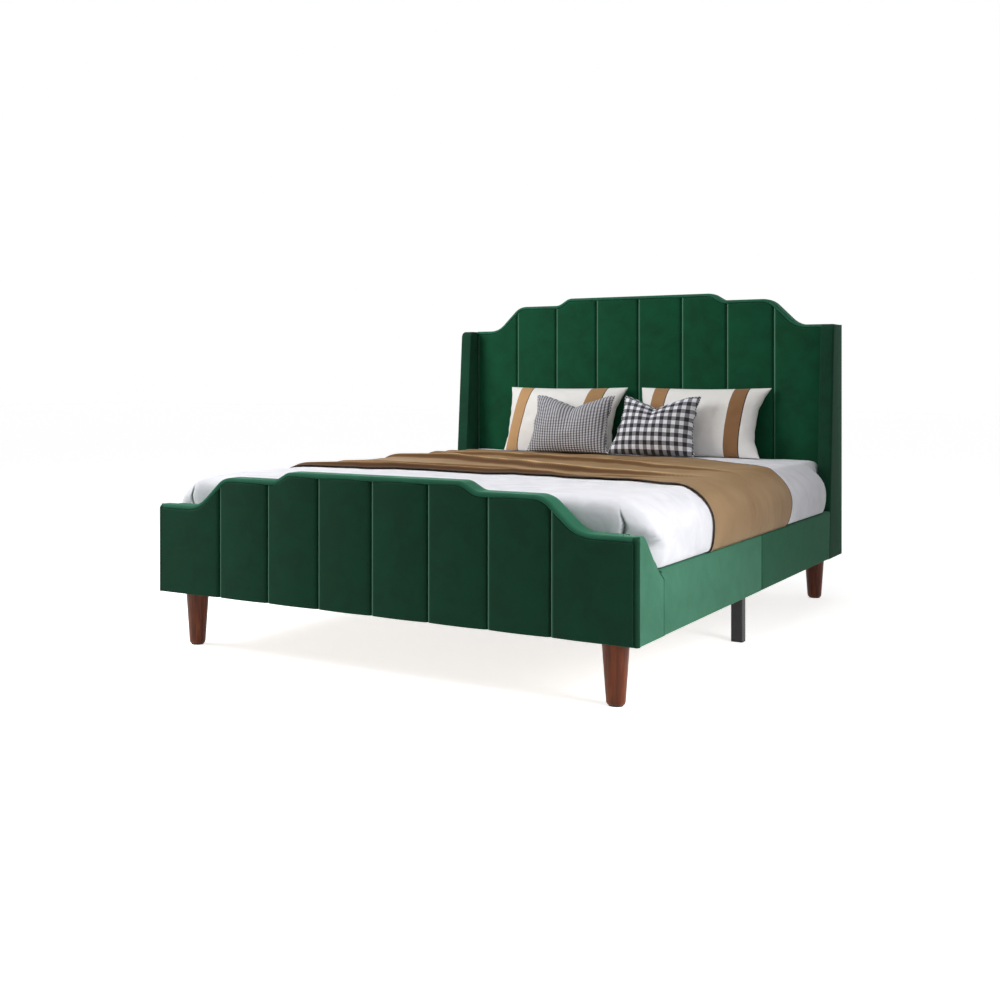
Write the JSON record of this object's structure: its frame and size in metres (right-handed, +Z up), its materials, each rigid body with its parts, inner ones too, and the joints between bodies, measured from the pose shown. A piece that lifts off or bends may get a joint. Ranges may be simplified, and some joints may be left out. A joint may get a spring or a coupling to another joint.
{
  "type": "upholstered queen bed",
  "caption": "Queen bed with a stepped, channel-tufted velvet headboard and footboard, padded side rails, turned wood legs and full bedding.",
  "frame": {"origin": "on the floor under the middle of the bed, the bottom centre of its bounding box", "axes": "+Y from the foot of the bed to the head, +Z up, +X to the right of someone who looks from the foot to the head"},
  "size_m": [1.64, 2.19, 1.222],
  "materials": {
    "velvet": "soft green velvet",
    "plywood": "raw plywood",
    "pine": "planed pine",
    "walnut": "satin walnut stain",
    "black_steel": "black powder coat",
    "zinc_steel": "zinc plated",
    "dust_cloth": "black non-woven cloth",
    "glide": "dark felt and plastic",
    "mattress_cloth": "quilted white ticking",
    "cotton": "white cotton",
    "satin": "tan satin",
    "pillow_cloth": "off-white cotton with brown bands",
    "stripe_cloth": "fine grey stripe",
    "check_cloth": "black and white check"
  },
  "bodies": {
    "bed_frame": {"beam_brackets": "zinc_steel", "bed_bolts": "zinc_steel", "centre_beam": "pine", "centre_leg": "black_steel", "footboard_back_cover": "velvet", "footboard_border": "velvet", "footboard_channel_1": "velvet", "footboard_channel_2": "velvet", "footboard_channel_3": "velvet", "footboard_channel_4": "velvet", "footboard_channel_5": "velvet", "footboard_channel_6": "velvet", "footboard_channel_7": "velvet", "footboard_channel_8": "velvet", "footboard_panel": "plywood", "footboard_return_left": "velvet", "footboard_return_right": "velvet", "footboard_timber": "pine", "headboard_border": "velvet", "headboard_channel_1": "velvet", "headboard_channel_2": "velvet", "headboard_channel_3": "velvet", "headboard_channel_4": "velvet", "headboard_channel_5": "velvet", "headboard_channel_6": "velvet", "headboard_channel_7": "velvet", "headboard_channel_8": "velvet", "headboard_dust_cover": "dust_cloth", "headboard_panel": "plywood", "headboard_timber": "pine", "joiner_plates": "zinc_steel", "leg_front_left": "walnut", "leg_front_right": "walnut", "leg_glides": "glide", "leg_rear_left": "walnut", "leg_rear_right": "walnut", "middle_leg_left": "black_steel", "middle_leg_right": "black_steel", "rail_board_front_left": "pine", "rail_board_front_right": "pine", "rail_board_rear_left": "pine", "rail_board_rear_right": "pine", "rail_cover_front_left": "velvet", "rail_cover_front_right": "velvet", "rail_cover_rear_left": "velvet", "rail_cover_rear_right": "velvet", "slat_ledges": "pine", "slats": "pine", "wing_board_left": "plywood", "wing_board_right": "plywood", "wing_cover_left": "velvet", "wing_cover_right": "velvet", "wing_piping": "velvet"},
    "mattress": {"mattress": "mattress_cloth", "duvet": "cotton", "throw": "satin"},
    "pillow_left": {"pillow_left": "pillow_cloth"},
    "pillow_right": {"pillow_right": "pillow_cloth"},
    "cushion_left": {"cushion_left": "stripe_cloth"},
    "cushion_right": {"cushion_right": "check_cloth"}
  },
  "joints": [
    {"name": "mattress_lift", "type": "slide", "parent": "bed_frame", "child": "mattress", "axis": [0, 0, 1], "range_m": [0, 0.35]},
    {"name": "pillow_left_lift", "type": "slide", "parent": "mattress", "child": "pillow_left", "axis": [0, 0, 1], "range_m": [0, 0.3]},
    {"name": "pillow_right_lift", "type": "slide", "parent": "mattress", "child": "pillow_right", "axis": [0, 0, 1], "range_m": [0, 0.3]},
    {"name": "cushion_left_lift", "type": "slide", "parent": "mattress", "child": "cushion_left", "axis": [0, 0, 1], "range_m": [0, 0.3]},
    {"name": "cushion_right_lift", "type": "slide", "parent": "mattress", "child": "cushion_right", "axis": [0, 0, 1], "range_m": [0, 0.3]}
  ]
}
